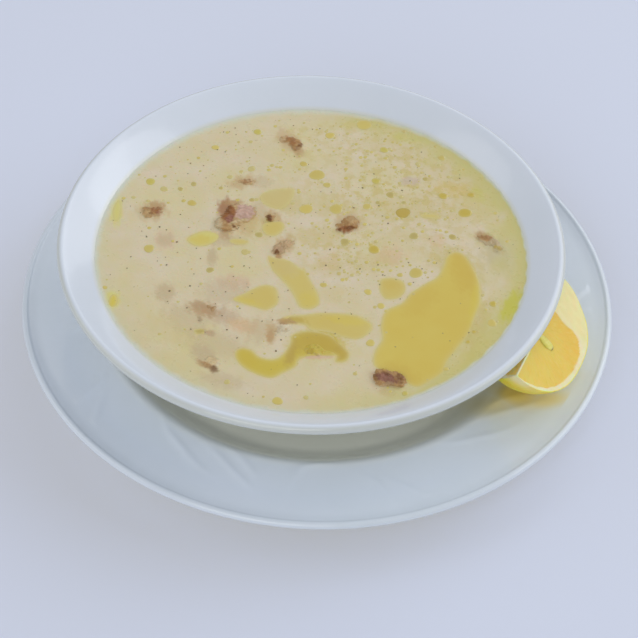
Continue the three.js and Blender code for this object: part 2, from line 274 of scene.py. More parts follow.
# ---- the oil: outlines and drops in the photo's pixels ----
OIL_THICKNESS = 0.12
OIL_LIFT = 0.02
OIL_SINK = 0.4
POOL_NET = 0.9
POOL_CLEAR = 0.45  # the share of a net step that stays free inside the outline
POOL_RISE = 1.1
POOL_FADE = 0.8
FAR_OUTSIDE = -50.0  # the depth of a place that is near no pool
DROP_LIFT = 0.03
DROP_FADE = 0.35
DROP_SMALLEST = 0.25
DROP_SPREAD = 0.85
OIL_POOLS = [
    [(456, 252), (465, 256), (473, 267), (480, 285), (480.5, 303), (475, 317), (469, 333), (457, 349),
     (447, 362), (443, 373), (429, 382), (418, 387), (408, 384), (400, 378), (386, 373), (376, 368),
     (373, 360), (376, 349), (382, 339), (381, 325), (386, 311), (402, 303), (411, 293), (425, 284),
     (437, 277), (443, 266), (447, 256)],
    [(281, 320), (289, 316), (304, 315), (322, 313), (346, 314), (360, 317), (372, 325), (368, 334),
     (357, 339), (343, 337), (328, 332), (311, 330), (304, 325), (286, 323)],
    [(235, 353), (241, 348), (251, 350), (260, 357), (274, 359), (284, 353), (290, 343), (292, 335),
     (304, 331), (314, 331), (330, 335), (343, 346), (349, 354), (346, 361), (336, 362), (333, 355),
     (302, 358.5), (295, 367), (283, 373), (271, 378), (255, 374), (243, 367), (237, 361)],
    [(233, 299), (245, 293), (255, 288), (266, 285), (275, 288), (278, 295), (277, 304), (266, 310),
     (255, 307), (243, 304)],
    [(268, 257), (275, 258), (289, 261), (301, 269), (304, 269), (310, 280), (318, 294), (319, 304),
     (310, 309), (300, 307), (295, 298), (289, 288), (280, 278), (272, 269)],
    [(381, 280), (392, 278), (403, 282), (405, 291), (398, 298), (386, 299), (380, 291)],
    [(187, 240), (194, 234), (206, 231), (218, 234), (217, 240), (208, 245), (196, 246)],
    [(260, 197), (269, 191), (283, 189), (294, 190), (290, 202), (280, 209), (266, 205)],
]
# Each drawn pool's main tint and its patches, as for the tripe. The ovals have one tint each.
POOL_PATCHES = [
    ("gold", [
        (466, 268, 14, 26, -10, "amber", 0.6), (420, 300, 20, 12, -30, "amber", 0.4),
        (400, 375, 20, 10, 20, "amber", 0.5), (476, 310, 6, 36, 8, "bright", 0.5),
    ]),
    ("straw", [
        (288, 321, 18, 6, 0, "ochre", 0.8), (284, 321, 8, 4, 0, "brown", 0.8),
        (350, 320, 24, 5, 5, "bright", 0.4),
    ]),
    ("mustard", [
        (320, 342, 32, 13, 5, "ochre", 0.7), (342, 352, 7, 8, 0, "ochre", 0.7),
        (291, 353, 5, 14, 15, "ochre", 1.0), (317, 357.2, 16, 1.6, -1, "pink", 0.7),
    ]),
    ("straw", [(245, 303, 14, 5, 10, "bright", 0.4)]),
    ("straw", [(310, 300, 12, 8, 0, "bright", 0.3), (285, 265, 14, 10, 30, "faint", 0.7)]),
    ("straw", [(388, 284, 10, 5, 0, "amber", 0.3)]),
    ("lemony", [(202, 240, 12, 5, 0, "gold", 0.6)]),
    ("faint", []),
]
OVAL_TINTS = ["straw", "bright", "lemony", "straw", "straw", "olive"]
OIL_OVALS = [
    (273, 227.8, 11, 8.4), (113, 301, 4.5, 7), (117, 211, 4, 12), (238.5, 241.6, 9, 3), (430, 216, 10, 2.5),
    (200, 331.5, 6, 2.6),
]
# The drops by tint: pixel and half width.
OIL_DROPS = {
    "deep": [(403, 213, 7.5)],
    "sun": [
        (465, 213, 7), (471, 195, 4), (443, 196, 5), (374, 249.5, 6), (493, 304, 4), (474, 332, 2.5),
        (468, 342, 2.5),
    ],
    "lime": [(376, 181, 4.5), (384, 150, 4.5), (257.6, 132, 4.5), (150.5, 181.6, 5), (405, 393.5, 3)],
    "clear": [
        (306, 209, 7), (364, 125, 8), (277.5, 401, 5), (368, 292, 4), (381, 306, 4), (370.5, 343, 4.5),
        (330, 135.5, 5), (446, 369, 3), (215.5, 147.5, 4), (105, 287.5, 2.5), (492, 323, 5),
    ],
    "light": [
        (336, 209, 7), (367, 206.5, 4.5), (317, 175, 8), (327, 185, 4), (303.5, 164, 4), (441.5, 158, 4),
        (149, 248.5, 5.5), (416, 273, 7), (400, 275, 3), (323.5, 285, 3.5), (191.8, 203, 4.5),
    ],
    "dull": [
        (390.5, 195, 4.5), (345, 242, 5), (414, 236, 5), (425.5, 179, 3), (378, 202.5, 2.5),
        (404, 202.5, 2.5), (180.6, 189, 3), (193.8, 184, 3.2), (221, 188, 2.5), (210, 270, 4),
        (252, 200, 3), (259, 234.7, 4), (452.6, 237, 4),
    ],
    "thin": [
        (418, 164, 3), (245, 252, 4), (251.5, 169, 4), (230, 177, 3), (133.6, 197.5, 2.5), (164, 189, 4),
        (306, 397.5, 2.5), (519.6, 288, 2), (227, 382, 3),
    ],
}
CROWD_TINTS = ["clear", "light", "thin", "curd"]
# Where the smallest drops crowd: pixel, spread across, spread down, how many.
OIL_CROWDS = [
    (400, 200, 55, 38, 420),
    (350, 240, 18, 14, 60),
    (355, 268, 16, 10, 50),
    (370, 140, 50, 12, 150),
    (240, 170, 60, 25, 140),
    (250, 270, 90, 60, 160),
    (420, 330, 60, 50, 120),
]
PEPPER_SEEN = [
    (301, 147), (140.5, 213), (150.5, 210), (159.6, 227), (166.5, 230), (146.6, 237), (177, 242),
    (233, 226), (238.5, 228), (244.6, 229), (269, 219), (275, 254), (166.5, 265), (244, 266), (194, 274),
    (169.6, 291), (225.5, 292), (215.5, 304), (199, 320.5), (222, 316), (227, 330), (237, 338),
    (281, 340), (276, 351), (287, 330), (214, 370), (187, 308), (190, 286), (289, 309), (362.5, 188),
    (374, 174), (402, 190.5), (382.5, 216), (388, 223.5), (410, 181), (330, 249.5), (326, 265.5),
    (360, 269), (378, 265), (422, 269), (434, 241.5), (497, 252),
]
PEPPER_SCATTERED = 280
PEPPER_LARGE = (0.5, 0.9)
PEPPER_SMALLEST = 0.25
PEPPER_SPREAD = 0.45

# ---- the lemon wedge ----
LEMON_LENGTH = 59.8
LEMON_RADIUS = 25.2
LEMON_FULLNESS = 2.28
LEMON_WEDGE = 90
LEMON_MIDDLE = np.array([92.3, -37.7, 45.35])
LEMON_TURN = 67.7
LEMON_DIP = 41.2
LEMON_PULP_END = 11.6
LEMON_PITH = 2.3
LEMON_PITH_BELOW = 5.0
LEMON_ZEST = 0.6
LEMON_BARE = [(519, 379, 18, 5.5, 28, 0.9)]  # where a painted highlight makes the glossy rind pale
LEMON_SEED_ALONG = -4.5
LEMON_SEED_OUT = 5.2
LEMON_SEED_SIZE = (4.0, 1.2, 9.2)
LEMON_CORE = 0.5
LEMON_NECK = (0.72, 0.2, 0.10)  # where it narrows along its half length, how soon and how much
LEMON_BELLY = (0.45, 0.25, 0.02)  # where it is fuller, how widely and how much
FIBRE_COUNT = 26
FIBRE_START = (-4.5, -9)  # along the wedge and outwards, where the pulp's fibres fan out from
SEED_TIP_FROM = 0.78
NO_ENDS = [0.0, 0.0]  # the two end points hold nothing

# How many numbers a point holds: the attribute's kind and its field.
ATTRIBUTE_KINDS = {1: ("FLOAT", "value"), 3: ("FLOAT_VECTOR", "vector"), 4: ("FLOAT_COLOR", "color")}


# ---- shapes ----
def at_height(pixels, height):
    """Where each pixel's sight line meets the level plane at that height: the camera's place plus the ray
    through the pixel, stretched until it has come down to the plane."""
    offset = (np.asarray(pixels, float)[:, :2] - PHOTO_MIDDLE) / PHOTO_FOCAL
    ray = sight + offset[:, :1] * photo_right + offset[:, 1:] * photo_down
    reach = (height - CAMERA_PLACE[2]) / ray[:, 2:]
    return (CAMERA_PLACE + ray * reach)[:, :2]


def in_photo(points):
    """Each point's pixel in the photo: its offset from the camera along the photo's two directions, over
    its depth, times the focal length."""
    offset = points - CAMERA_PLACE
    depth = offset @ sight
    across = offset @ photo_right / depth
    down = offset @ photo_down / depth
    return PHOTO_MIDDLE + PHOTO_FOCAL * np.stack([across, down], axis=1)


def bend(start, lean_out, lean_in, end, steps):
    """A cubic Bezier curve's points after its start: each control point weighted by its Bernstein term."""
    t = np.linspace(0, 1, steps + 1)[1:, None]
    start, lean_out, lean_in, end = (np.array(point, float) for point in (start, lean_out, lean_in, end))
    first_half = (1 - t) ** 3 * start + 3 * (1 - t) ** 2 * t * lean_out
    return first_half + 3 * (1 - t) * t ** 2 * lean_in + t ** 3 * end


def arc(centre, radius, first, last, steps):
    """Points on a circle's arc, from one angle to the other."""
    angles = np.radians(np.linspace(first, last, steps + 1))
    return np.array(centre) + radius * np.stack([np.cos(angles), np.sin(angles)], axis=1)


def line(start, end, steps):
    """Evenly spaced points after the start, up to the end."""
    t = np.linspace(0, 1, steps + 1)[1:, None]
    return (1 - t) * np.array(start, float) + t * np.array(end, float)


def turned(profile, around, centre=(0, 0)):
    """A profile of radius and height turned about the upright axis: x = radius cos, y = radius sin."""
    angle = np.arange(around) / around * FULL_TURN
    rings = np.empty((len(profile), around, 3))
    rings[:, :, 0] = centre[0] + profile[:, :1] * np.cos(angle)
    rings[:, :, 1] = centre[1] + profile[:, :1] * np.sin(angle)
    rings[:, :, 2] = profile[:, 1:]
    return rings


def skin(rings, start, end):
    """Points and faces of a closed skin: rings joined by quads, an end ring closed by a fan to one point."""
    count, around = rings.shape[:2]
    points = np.concatenate([rings.reshape(-1, 3), [start, end]])
    here = np.arange(around)
    there = (here + 1) % around
    base = np.arange(count - 1)[:, None] * around
    quads = np.stack([base + here, base + there, base + around + there, base + around + here], axis=-1)
    last = (count - 1) * around
    first_fan = np.stack([np.full(around, count * around), there, here], axis=-1)
    last_fan = np.stack([np.full(around, count * around + 1), last + here, last + there], axis=-1)
    return points, quads.reshape(-1, 4).tolist() + first_fan.tolist() + last_fan.tolist()


def joined(shells):
    """One list of points and faces from many, each shell's faces counted on from the shells before it."""
    points = []
    faces = []
    count = 0
    for shell_points, shell_faces in shells:
        points.append(shell_points)
        faces += [[index + count for index in face] for face in shell_faces]
        count += len(shell_points)
    return np.concatenate(points), faces


def spun(x, y, angle):
    """x and y turned leftwards by an angle in radians."""
    return x * math.cos(angle) - y * math.sin(angle), x * math.sin(angle) + y * math.cos(angle)


def unit(values):
    """Values kept between none and all."""
    return np.clip(values, 0, 1)


def eased(values):
    """3 v^2 - 2 v^3: from none to all with a soft start and end."""
    return values * values * (3 - 2 * values)


def ripples(x, y, seed, scale, waves=7):
    """Smooth unevenness between about -1 and 1: the mean of sine waves whose directions, lengths and
    starts come from the seed. scale is the longest wave's length."""
    draw = np.random.default_rng(seed)
    total = np.zeros(np.broadcast(x, y).shape)
    for _ in range(waves):
        heading = draw.uniform(0, FULL_TURN)
        length = scale * draw.uniform(0.35, 1.0)
        start = draw.uniform(0, FULL_TURN)
        total += np.sin((x * math.cos(heading) + y * math.sin(heading)) * FULL_TURN / length + start)
    return total / math.sqrt(waves)


def tinted(name):
    return np.array(seen(*TINTS[name]))


def laid_over(shade, cover, added, over):
    """A colour and its cover after another colour is laid over them with its own cover."""
    total = added + cover * (1 - added)
    share = np.where(total > 0, added / np.maximum(total, 1e-6), 0)[:, None]
    return shade * (1 - share) + over * share, total


def patched(pixels, base, patches, softness, seed):
    """A colour and its cover at each pixel: ragged soft ovals laid over one another. An oval's cover falls
    from its strength to nothing as the distance from its middle, in its own half lengths, passes one."""
    cover = np.zeros(len(pixels)) if base is None else np.ones(len(pixels))
    shade = np.zeros((len(pixels), 4))
    shade[:, :] = tinted(base or "milk")
    ragged = 0.16 * ripples(pixels[:, 0], pixels[:, 1], seed, 13) + 0.10 * ripples(*pixels.T, seed + 1, 5)
    for across, down, long, wide, tilt, tint, strength in patches:
        along, aside = spun(pixels[:, 0] - across, pixels[:, 1] - down, -math.radians(tilt))
        reach = np.hypot(along / long, aside / wide) + ragged
        added = strength * eased(unit(0.5 + (1 - reach) / softness))
        shade, cover = laid_over(shade, cover, added, tinted(tint))
    return shade, cover


def placed(name, data):
    """A new object of the scene with that name and data."""
    made = bpy.data.objects.new(name, data)
    bpy.context.scene.collection.objects.link(made)
    return made


def piece(name, points, faces, finish, slot, stands_for=(), crisp_above=0, **attributes):
    """A mesh in metres with point attributes, its finish and the nodes it stands for; slot is not used.
    Edges that turn by more than crisp_above degrees are shaded crisp."""
    mesh = bpy.data.meshes.new(name)
    mesh.from_pydata((np.asarray(points) * MM).tolist(), [], faces)
    mesh.shade_smooth()
    if crisp_above:
        mesh.set_sharp_from_angle(angle=math.radians(crisp_above))
    for key, values in attributes.items():
        kind, field = ATTRIBUTE_KINDS[1 if np.ndim(values) == 1 else np.shape(values)[1]]
        mesh.attributes.new(key, kind, "POINT").data.foreach_set(field, np.asarray(values, float).ravel())
    mesh.materials.append(finish)
    made = placed(name, mesh)
    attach(made, "root")
    for node_name in stands_for:
        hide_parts(node_name)
    return made


# ---- finishes ----
def colour(red, green, blue):
    """A colour from 0-255 steps to linear light."""
    steps = np.array([red, green, blue]) / 255
    linear = np.where(steps <= 0.04045, steps / 12.92, ((steps + 0.055) / 1.055) ** 2.4)
    return (*linear.tolist(), 1.0)


def seen(red, green, blue):
    """The colour that looks like this in the photo's light: what its gloss adds is taken off, and the
    rest is divided by the light."""
    linear = (np.array(colour(red, green, blue)[:3]) - PHOTO_GLOSS) / PHOTO_LIGHT
    return (*np.clip(linear, 0.01, 0.95).tolist(), 1.0)


def finish_named(name):
    made = bpy.data.materials.new(name)
    made.use_nodes = True
    made.node_tree.nodes.clear()
    return made, made.node_tree


def node(tree, kind, settings=None, inputs=None):
    """One shader node. inputs gives each socket, by name or number, a value or another node's socket."""
    made = tree.nodes.new("ShaderNode" + kind)
    for key, value in (settings or {}).items():
        setattr(made, key, value)
    for key, value in (inputs or {}).items():
        if isinstance(value, bpy.types.NodeSocket):
            tree.links.new(value, made.inputs[key])
        else:
            made.inputs[key].default_value = value
    return made


def noise(tree, scale, detail=3.0, roughness=0.55, vector=None):
    """A noise pattern's value, its scale in repeats per metre, on the object's own coordinates."""
    place = vector or node(tree, "TexCoord").outputs["Object"]
    inputs = {"Vector": place, "Scale": scale, "Detail": detail, "Roughness": roughness}
    return node(tree, "TexNoise", None, inputs).outputs["Fac"]


def ramp(tree, factor, low, high, first=0.0, last=1.0):
    """A grey that runs from first to last as the factor runs from low to high."""
    made = node(tree, "ValToRGB", None, {"Fac": factor})
    for element, place, grey in zip(made.color_ramp.elements, (low, high), (first, last)):
        element.position = place
        element.color = (grey, grey, grey, 1)
    return made.outputs["Color"]


def mix(tree, factor, first, second, blend="MIX"):
    inputs = {"Factor": factor, 6: first, 7: second}
    settings = {"data_type": "RGBA", "blend_type": blend}
    return node(tree, "Mix", settings, inputs).outputs[2]


def held(tree, name, kind="Fac"):
    """What the points hold under that name: a value, or a Color or Vector where kind says so."""
    return node(tree, "Attribute", {"attribute_name": name}).outputs[kind]


def times(tree, first, second, operation="MULTIPLY"):
    return node(tree, "Math", {"operation": operation, "use_clamp": True}, {0: first, 1: second}).outputs[0]


def bump(tree, height, distance, strength=1.0):
    inputs = {"Height": height, "Distance": distance * MM, "Strength": strength}
    return node(tree, "Bump", None, inputs).outputs["Normal"]


def surface(tree, **inputs):
    """The Principled shader and the material's output. Sockets are named with _ for a space."""
    named = {key.replace("_", " "): value for key, value in inputs.items()}
    shader = node(tree, "BsdfPrincipled", None, named)
    node(tree, "OutputMaterial", None, {"Surface": shader.outputs[0]})


def porcelain(name, white, shade, masks):
    """White glaze, cool and very slightly uneven in colour, gloss and level. Each mask is a point
    attribute's name and the colour the glaze takes there."""
    made, tree = finish_named(name)
    mottle = noise(tree, 22, 4)
    fine = noise(tree, 420, 2)
    tint = mix(tree, ramp(tree, mottle, 0.35, 0.7), white, shade)
    for mask, other in masks.items():
        tint = mix(tree, held(tree, mask), tint, other)
    unevenness = times(tree, mottle, times(tree, fine, 0.04), "ADD")
    surface(
        tree,
        Base_Color=tint,
        Roughness=ramp(tree, noise(tree, 60), 0.3, 0.7, 0.14, 0.22),
        Normal=bump(tree, unevenness, 0.25),
        Specular_IOR_Level=0.5,
        Coat_Weight=0.35,
        Coat_Roughness=0.06,
    )
    return made


PLATE_WHITE = colour(226, 233, 240)
PLATE_SHADE = colour(222, 230, 236)
# Painted light: the glaze round the plate's well, lighter and warmer under the bowl's shadow.
PLATE_WELL = colour(246, 245, 228)
# Painted light: the lemon's yellow bounced onto the plate.
PLATE_GLOW = colour(232, 212, 124)
BOWL_WHITE = colour(228, 234, 243)
BOWL_SHADE = colour(224, 231, 240)
# Painted shade: the lip's outer side, greyer as it faces away from the light.
BOWL_LIP = colour(206, 209, 198)
BOWL_FILM = seen(200, 202, 188)
SOUP_CREAM = seen(200, 189, 156)
SOUP_PALE = seen(204, 193, 172)
SOUP_YELLOW = seen(198, 190, 130)
# Painted shade for the pits in the tripe's grain.
TRIPE_PITS = (0.84, 0.81, 0.78, 1)
OIL_STREAKS = (0.99, 0.96, 0.88, 1)
PEPPER_BLACK = colour(98, 80, 52)
PEPPER_BROWN = colour(164, 146, 106)
RIND_YELLOW = seen(234, 214, 78)
RIND_DEEP = seen(226, 200, 60)
PITH_CREAM = seen(226, 216, 182)
PITH_YELLOW = seen(222, 214, 158)
PULP_YELLOW = seen(216, 196, 88)
PULP_ORANGE = seen(218, 180, 66)
# Painted light: the pulp of the second cut face, which lies in shade, made lighter.
PULP_SHADED = (0.95, 0.74, 0.16, 1.0)
# Painted highlight: the pale shine on the rind.
RIND_BARE = seen(222, 214, 176)
PULP_PALE = seen(222, 196, 112)
SEED_GREEN = seen(206, 199, 84)
SEED_PALE = seen(214, 208, 120)
SEED_TIP = seen(150, 120, 60)
FLOOR_REACH = 3000
FLOOR_PALE = (0.455, 0.56, 0.84, 1.0)
FLOOR_GLOW = (0.218, 0.172, 0.05, 1.0)  # keeps the shadows on the floor light and warm


def soup_finish():
    """Cream broth with fine oil haze, oiled under the pools, paler at its edge, stained over sunk tripe."""
    made, tree = finish_named("soup_cream")
    cloud = ramp(tree, noise(tree, 70, 4), 0.35, 0.68)
    base = mix(tree, cloud, SOUP_CREAM, SOUP_PALE)
    haze = ramp(tree, noise(tree, 28, 3), 0.45, 0.68)
    base = mix(tree, times(tree, haze, 0.45), base, SOUP_YELLOW)
    specks = ramp(tree, noise(tree, 800, 2), 0.60, 0.72)
    base = mix(tree, times(tree, specks, 0.35), base, SOUP_YELLOW)
    curds = ramp(tree, noise(tree, 230, 3), 0.47, 0.60)
    base = mix(tree, times(tree, curds, held(tree, "busy")), base, seen(*TINTS["curd"]))
    base = mix(tree, held(tree, "oiled"), base, seen(*TINTS["straw"]))
    base = mix(tree, held(tree, "stained"), base, held(tree, "stain", "Color"))
    surface(
        tree,
        Base_Color=base,
        Roughness=ramp(tree, noise(tree, 300), 0.3, 0.7, 0.24, 0.38),
        Normal=bump(tree, noise(tree, 240, 3), 0.10),
        Specular_IOR_Level=0.4,
        Subsurface_Weight=0.12,
        Subsurface_Scale=0.003,
    )
    return made


def tripe_finish():
    """Browned, wet tripe: the patches' colours, with painted shade darkening the pits and the grains left
    lighter.
    """
    made, tree = finish_named("tripe_browned")
    grain = noise(tree, 420, 3, 0.55)
    fleck = ramp(tree, noise(tree, 1300, 2), 0.54, 0.68)
    skin_colour = held(tree, "skin", "Color")
    # Painted shade: the pits of the grain, which the bump also sinks, are darkened.
    darker = mix(tree, 1.0, skin_colour, TRIPE_PITS, "MULTIPLY")
    body = mix(tree, ramp(tree, grain, 0.40, 0.58), darker, skin_colour)
    body = mix(tree, times(tree, fleck, 0.15), body, seen(*TINTS["beige"]))
    surface(
        tree,
        Base_Color=body,
        Roughness=ramp(tree, grain, 0.3, 0.7, 0.38, 0.52),
        Normal=bump(tree, grain, 0.10),
        Specular_IOR_Level=0.3,
        Subsurface_Weight=0.05,
        Subsurface_Scale=0.001,
    )
    return made


def oil_finish():
    """Clear yellow oil in the pools' own tints, faintly streaked."""
    made, tree = finish_named("oil_yellow")
    streak = ramp(tree, noise(tree, 60, 2), 0.38, 0.66)
    shade = held(tree, "shade", "Color")
    deeper = mix(tree, 1.0, shade, OIL_STREAKS, "MULTIPLY")
    surface(
        tree,
        Base_Color=mix(tree, streak, shade, deeper),
        Roughness=0.08,
        Alpha=0.9,
        IOR=1.45,
        Normal=bump(tree, noise(tree, 160, 1), 0.04),
    )
    return made


def pepper_finish():
    made, tree = finish_named("pepper_ground")
    base = mix(tree, held(tree, "pale"), PEPPER_BLACK, PEPPER_BROWN)
    base = mix(tree, times(tree, noise(tree, 2600, 2), 0.4), base, PEPPER_BROWN)
    surface(tree, Base_Color=base, Roughness=0.6, Normal=bump(tree, noise(tree, 3000, 2), 0.05))
    return made


def lemon_finish():
    """Rind with oil glands, cream pith and yellow pulp with fibres; masks say which is where. The pulp on
    the shaded second cut face is painted lighter, and a painted highlight pales a spot of the rind.
    """
    made, tree = finish_named("lemon_cut")
    place = node(tree, "TexCoord").outputs["Object"]
    glands = node(tree, "TexVoronoi", None, {"Vector": place, "Scale": 620})
    dimple = ramp(tree, glands.outputs["Distance"], 0.0, 0.45)
    rind = mix(tree, ramp(tree, noise(tree, 70, 3), 0.35, 0.7), RIND_YELLOW, RIND_DEEP)
    fibres = noise(tree, 1.0, 3, 0.6, held(tree, "fibre", "Vector"))
    ripe = mix(tree, 0.35, held(tree, "ripe"), ramp(tree, noise(tree, 60, 2), 0.35, 0.65))
    pulp = mix(tree, ripe, PULP_YELLOW, PULP_ORANGE)
    threads = ramp(tree, fibres, 0.50, 0.72)
    pulp = mix(tree, times(tree, threads, 0.45), pulp, PULP_PALE)
    # Painted light: the second cut face lies in shade, and its pulp is painted lighter as if lit through the
    # flesh.
    pulp = mix(tree, held(tree, "second"), pulp, PULP_SHADED)
    # Painted highlight: a pale spot where the rind's gloss catches the light.
    rind = mix(tree, held(tree, "bare"), rind, RIND_BARE)
    pith = mix(tree, held(tree, "far"), PITH_CREAM, PITH_YELLOW)
    pith = mix(tree, ramp(tree, noise(tree, 260, 3), 0.3, 0.9), pith, PITH_YELLOW)
    base = mix(tree, held(tree, "pith"), rind, pith)
    base = mix(tree, held(tree, "pulp"), base, pulp)
    relief = mix(tree, held(tree, "pith"), dimple, fibres)
    surface(
        tree,
        Base_Color=base,
        Roughness=ramp(tree, fibres, 0.3, 0.7, 0.26, 0.42),
        Normal=bump(tree, relief, 0.10),
        Specular_IOR_Level=0.4,
        Subsurface_Weight=0.5,
        Subsurface_Scale=0.008,
    )
    return made


def seed_finish():
    made, tree = finish_named("lemon_pip")
    streaks = noise(tree, 900, 3)
    base = mix(tree, ramp(tree, streaks, 0.35, 0.65), SEED_GREEN, SEED_PALE)
    base = mix(tree, held(tree, "tip"), base, SEED_TIP)
    surface(tree, Base_Color=base, Roughness=0.3, Normal=bump(tree, streaks, 0.05))
    return made


# ---- the plate ----
def flute_height(radius, angle):
    """How high the relief stands: for each curved flute, a bell across its width times a taper along it."""
    folded = np.mod(angle - PLATE_FLUTE_START, PLATE_FLUTE_PERIOD)
    height = np.zeros(radius.shape)
    for flute in PLATE_FLUTES:
        path = np.array(flute, float)
        knots = np.linspace(0, 1, len(path))
        steps = np.linspace(0, 1, PLATE_FLUTE_STEPS)
        radii = np.interp(steps, knots, path[:, 0])
        angles = np.interp(steps, knots, path[:, 1]) - PLATE_FLUTE_START
        taper = np.sin(math.pi * np.linspace(0.06, 0.94, len(steps)))
        for shift in (-PLATE_FLUTE_PERIOD, 0, PLATE_FLUTE_PERIOD):
            x = radii * np.cos(np.radians(angles + shift))
            y = radii * np.sin(np.radians(angles + shift))
            across_x = radius[..., None] * np.cos(np.radians(folded))[..., None] - x
            across_y = radius[..., None] * np.sin(np.radians(folded))[..., None] - y
            bell = np.exp(-(across_x ** 2 + across_y ** 2) / PLATE_FLUTE_WIDTH ** 2)
            height = np.maximum(height, (bell * taper).max(axis=-1))
    return height * PLATE_RELIEF


def make_plate(finish):
    """The plate's profile turned about its axis, the relief added to the top of its rim."""
    profile = np.concatenate([
        line((2, 3.2), (63.6, 3.2), 3),
        bend((63.6, 3.2), (64.6, 3.2), (64.9, 0.1), (66.2, 0), 6),
        line((66.2, 0), (69.0, 0), 1),
        bend((69.0, 0), (70.3, 0), (70.2, 3.2), (71.8, 3.25), 6),
        bend((71.8, 3.25), (82, 4.2), (88, 14.8), (97, 16), 16),
        line((97, 16), (124.6, 18.24), 5),
        arc((125.4, 19.9), 1.6, -90, 135, 14),
        bend((124.27, 21.03), (123.0, 20.75), (121.6, 20.25), (119.4, 20.18), 6),
        line((119.4, 20.18), (95, 19.4), 30),
        bend((95, 19.4), (89, 18.8), (83, 7), (75, 7), 20),
        line((75, 7), (2, 7), 8),
    ])
    rings = turned(profile, PLATE_AROUND)
    inner, outer = PLATE_RELIEF_SPAN
    on_rim = (profile[:, 0] > inner) & (profile[:, 0] < outer) & (profile[:, 1] > PLATE_TOP_ABOVE)
    rows = np.nonzero(on_rim)[0]
    rows = rows[rows > len(profile) // 2]
    radius = np.broadcast_to(profile[rows, :1], (len(rows), PLATE_AROUND))
    angle = np.broadcast_to(np.arange(PLATE_AROUND) / PLATE_AROUND * 360, radius.shape)
    rings[rows, :, 2] += flute_height(radius, angle)
    points, faces = skin(rings, (0, 0, 3.2), (0, 0, 7))
    reach = np.hypot(points[:, 0], points[:, 1])
    # Painted light: how strongly the glaze round the well is lightened and warmed where the bowl's shadow
    # falls.
    well = sum(unit((outer - reach) / width) * strength for outer, width, strength in PLATE_WARMTH)
    upper = np.append(np.repeat(np.arange(len(profile)) > len(profile) // 2, PLATE_AROUND), [False, True])
    # Painted light: the lemon's yellow bounced into its shadow on the plate's top.
    glow = bells(*in_photo(points).T, PLATE_GLOWS) * upper
    slot = "plate_porcelain"
    return piece("plate_glazed", points, faces, finish, slot, ["plate"], well=well * upper, glow=glow)


# ---- the bowl ----
def bowl_inside(steps):
    """The bowl's inner wall from the floor up to the soup's edge, as radius and height."""
    wall = bend((90.75, 48), (84, 30), (62, 17), (36, 15.6), steps)
    return np.concatenate([wall[::-1], [(90.75, 48)]])


def make_bowl(finish):
    """The bowl's profile turned about its own axis."""
    profile = np.concatenate([
        line((2, 11.5), (43.4, 11.5), 2),
        bend((43.4, 11.5), (44.6, 11.5), (44.4, 7.4), (45.8, 7.3), 6),
        line((45.8, 7.3), (49.0, 7.3), 1),
        bend((49.0, 7.3), (50.4, 7.3), (50.2, 11.3), (51.8, 11.5), 6),
        bend((51.8, 11.5), (68, 13), (88, 26), (94.4, 45), 34),
        bend((94.4, 45), (96.2, 48.4), (100, 51.0), (104.4 + 1.16, 54.5 - 1.75), 8),
        arc((104.4, 54.5), 2.1, -50, 123.5, 20),
        bend((103.24, 56.25), (100.2, 54.7), (95.5, 51.55), (90.75, 48), 24),
        bowl_inside(36)[::-1][1:],
        line((36, 15.6), (2, 15.6), 4),
    ])
    rings = turned(profile, BOWL_AROUND, BOWL_CENTRE)
    points, faces = skin(rings, (*BOWL_CENTRE, 11.5), (*BOWL_CENTRE, 15.6))
    reach = np.hypot(*(points[:, :2] - BOWL_CENTRE).T)
    # Painted shade on the lip's outer side, which faces away from the light.
    lip = unit((reach - BOWL_LIP_FROM) / 1.2) * 0.8
    film = unit(1 - (reach - BOWL_FILM_FROM) / BOWL_FILM_WIDTH)
    film *= (points[:, 2] > SOUP_Z - 2) * (reach > SOUP_EDGE_RADIUS - 1.25) * 0.8
    return piece("bowl_glazed", points, faces, finish, "bowl_porcelain", ["bowl"], lip=lip, film=film)


# ---- the oil pools' outlines ----
def smooth_outline(corners, steps):
    """A closed Catmull-Rom curve through the corners, steps points to each side, turning leftwards."""
    t = np.arange(steps)[:, None] / steps
    before, here, after, later = (np.roll(corners, shift, axis=0)[:, None] for shift in (1, 0, -1, -2))
    cubic = 3 * (here - after) + later - before
    square = 2 * before - 5 * here + 4 * after - later
    curve = (here + 0.5 * t * (after - before + t * (square + t * cubic))).reshape(-1, 2)
    x, y = curve.T
    leftwards = np.sum(x * np.roll(y, -1) - np.roll(x, -1) * y) > 0
    return curve if leftwards else curve[::-1]


def depth_inside(places, outline):
    """How far each place is inside a closed outline, negative outside: the distance to the nearest side,
    its sign from the number of sides a level ray crosses."""
    start = outline
    run = np.roll(outline, -1, axis=0) - start
    offset = places[:, None] - start
    share = unit((offset * run).sum(axis=2) / (run * run).sum(axis=1))
    nearest = np.linalg.norm(offset - share[..., None] * run, axis=2).min(axis=1)
    above_start = places[:, None, 1] >= start[:, 1]
    above_end = places[:, None, 1] >= (start + run)[:, 1]
    slope = np.where(np.abs(run[:, 1]) < 1e-9, 1e-9, run[:, 1])
    crossing = start[:, 0] + (places[:, None, 1] - start[:, 1]) / slope * run[:, 0]
    crossed = (above_start != above_end) & (places[:, None, 0] < crossing)
    return np.where(crossed.sum(axis=1) % 2 == 1, nearest, -nearest)


def oiled_depth(places, outlines):
    """How far each place is inside the nearest pool."""
    depth = np.full(len(places), FAR_OUTSIDE)
    for outline in outlines:
        middle = outline.mean(axis=0)
        around = np.linalg.norm(outline - middle, axis=1).max() + 4
        near = np.linalg.norm(places - middle, axis=1) < around
        depth[near] = np.maximum(depth[near], depth_inside(places[near], outline))
    return depth


